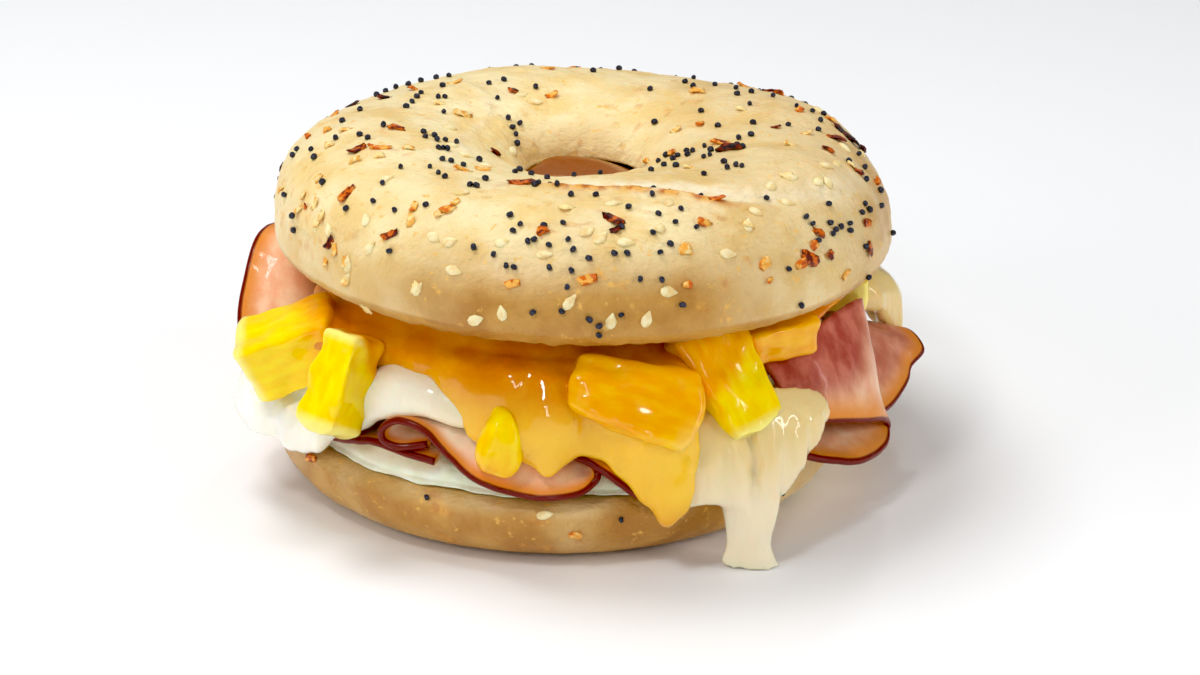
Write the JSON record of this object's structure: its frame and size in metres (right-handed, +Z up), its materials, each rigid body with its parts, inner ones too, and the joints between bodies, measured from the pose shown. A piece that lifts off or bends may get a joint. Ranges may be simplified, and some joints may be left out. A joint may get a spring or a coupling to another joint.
{
  "type": "bagel sandwich",
  "caption": "Seeded bagel cut in two round cream cheese, folded ham, melted white cheese and cheddar, and cut pineapple pieces.",
  "frame": {"origin": "middle of the box round the sandwich, on the surface that it stands on", "axes": "+Z up; the front with the cheddar and the run of white cheese faces -Y; +X to the right, the longest way"},
  "size_m": [0.122, 0.1092, 0.0628],
  "materials": {
    "crust": "baked, satin",
    "cream_cheese": "soft, matte",
    "ham": "moist, satin",
    "white_cheese": "melted, glossy",
    "cheddar": "melted, glossy",
    "pineapple": "wet, glossy",
    "poppy_seed": "dry, matte",
    "sesame_seed": "dry, satin",
    "toasted_onion": "dry, matte"
  },
  "bodies": {
    "root": {"bagel_bottom": "crust", "bagel_top": "crust", "cream_cheese": "cream_cheese", "ham_stack": "ham", "ham_left": "ham", "ham_front": "ham", "ham_front_right": "ham", "ham_right_fold": "ham", "ham_right_back": "ham", "ham_back": "ham", "white_cheese": "white_cheese", "cheddar_cheese": "cheddar", "pineapple_1": "pineapple", "pineapple_2": "pineapple", "pineapple_3": "pineapple", "pineapple_4": "pineapple", "pineapple_5": "pineapple", "pineapple_6": "pineapple", "pineapple_7": "pineapple", "pineapple_8": "pineapple", "pineapple_9": "pineapple", "pineapple_10": "pineapple"}
  },
  "joints": []
}
